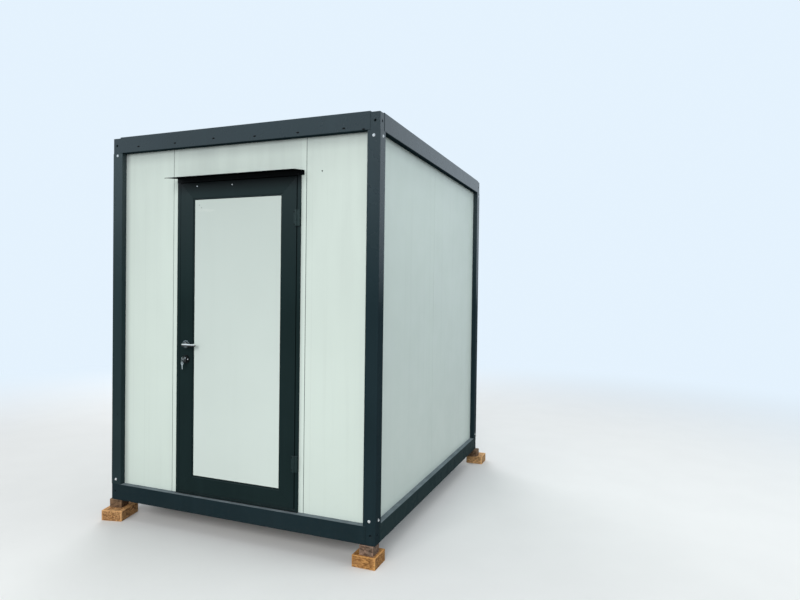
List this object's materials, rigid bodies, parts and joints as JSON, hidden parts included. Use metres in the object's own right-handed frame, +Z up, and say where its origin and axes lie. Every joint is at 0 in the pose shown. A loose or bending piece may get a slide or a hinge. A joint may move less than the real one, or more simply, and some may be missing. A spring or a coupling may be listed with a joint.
{
  "type": "portable site cabin",
  "caption": "Small flat-roofed site cabin: dark steel frame, pale sandwich panel walls, outward side-hinged door with a hood, standing on timber blocks.",
  "frame": {"origin": "on the ground under the middle of the cabin", "axes": "+Z up, the front with the door faces -Y, +X to the right seen from the front"},
  "size_m": [2.163, 2.543, 2.64],
  "materials": {
    "frame_paint": "satin anthracite paint",
    "wall_panel": "pale coated steel sheet",
    "roof_sheet": "zinc grey coated sheet",
    "floor_board": "film-faced plywood",
    "joist_steel": "satin anthracite paint",
    "door_paint": "powder-coated aluminium",
    "infill_panel": "pale coated sheet",
    "hinge_paint": "powder-coated aluminium",
    "hood_paint": "dark coated sheet",
    "handle_steel": "satin stainless steel",
    "lock_black": "black",
    "lock_metal": "nickel-plated",
    "pale_timber": "rough sawn softwood",
    "weathered_timber": "weathered softwood"
  },
  "bodies": {
    "cabin": {"bottom_corner_blocks": "frame_paint", "bottom_rail_front": "frame_paint", "bottom_rail_left": "frame_paint", "bottom_rail_rear": "frame_paint", "bottom_rail_right": "frame_paint", "door_head": "door_paint", "door_hood": "hood_paint", "door_jamb_hinge_side": "door_paint", "door_jamb_lock_side": "door_paint", "door_sill": "door_paint", "floor_deck": "floor_board", "floor_joists": "joist_steel", "front_wall_beside_door": "wall_panel", "front_wall_left": "wall_panel", "front_wall_over_door": "wall_panel", "front_wall_right": "wall_panel", "hinge_jamb_halves": "hinge_paint", "left_wall_front": "wall_panel", "left_wall_rear": "wall_panel", "lower_blocks": "pale_timber", "post_front_left": "frame_paint", "post_front_right": "frame_paint", "post_rear_left": "frame_paint", "post_rear_right": "frame_paint", "rear_wall_left": "wall_panel", "rear_wall_middle": "wall_panel", "rear_wall_right": "wall_panel", "right_wall_front": "wall_panel", "right_wall_rear": "wall_panel", "roof_panel": "roof_sheet", "top_corner_blocks": "frame_paint", "top_rail_front": "frame_paint", "top_rail_left": "frame_paint", "top_rail_rear": "frame_paint", "top_rail_right": "frame_paint", "upper_blocks": "weathered_timber"},
    "door": {"hinge_leaf_halves": "hinge_paint", "leaf_bottom_rail": "door_paint", "leaf_hinge_stile": "door_paint", "leaf_infill": "infill_panel", "leaf_lock_stile": "door_paint", "leaf_top_rail": "door_paint", "lever_roses": "handle_steel", "lock_cylinders": "lock_metal", "lock_key": "lock_metal", "lock_roses": "lock_black"},
    "handle": {"lever_inner": "handle_steel", "lever_outer": "handle_steel"}
  },
  "joints": [
    {"name": "door_swing", "type": "hinge", "parent": "cabin", "child": "door", "pos_m": [0.4445, -1.161, 1.235], "axis": [0, 0, 1], "range_deg": [0, 150]},
    {"name": "handle_turn", "type": "hinge", "parent": "door", "child": "handle", "pos_m": [-0.389, -1.1515, 1.235], "axis": [0, 1, 0], "range_deg": [0, 40], "stiffness_Nm_per_rad": 1.2, "springref_deg": -20.05}
  ]
}
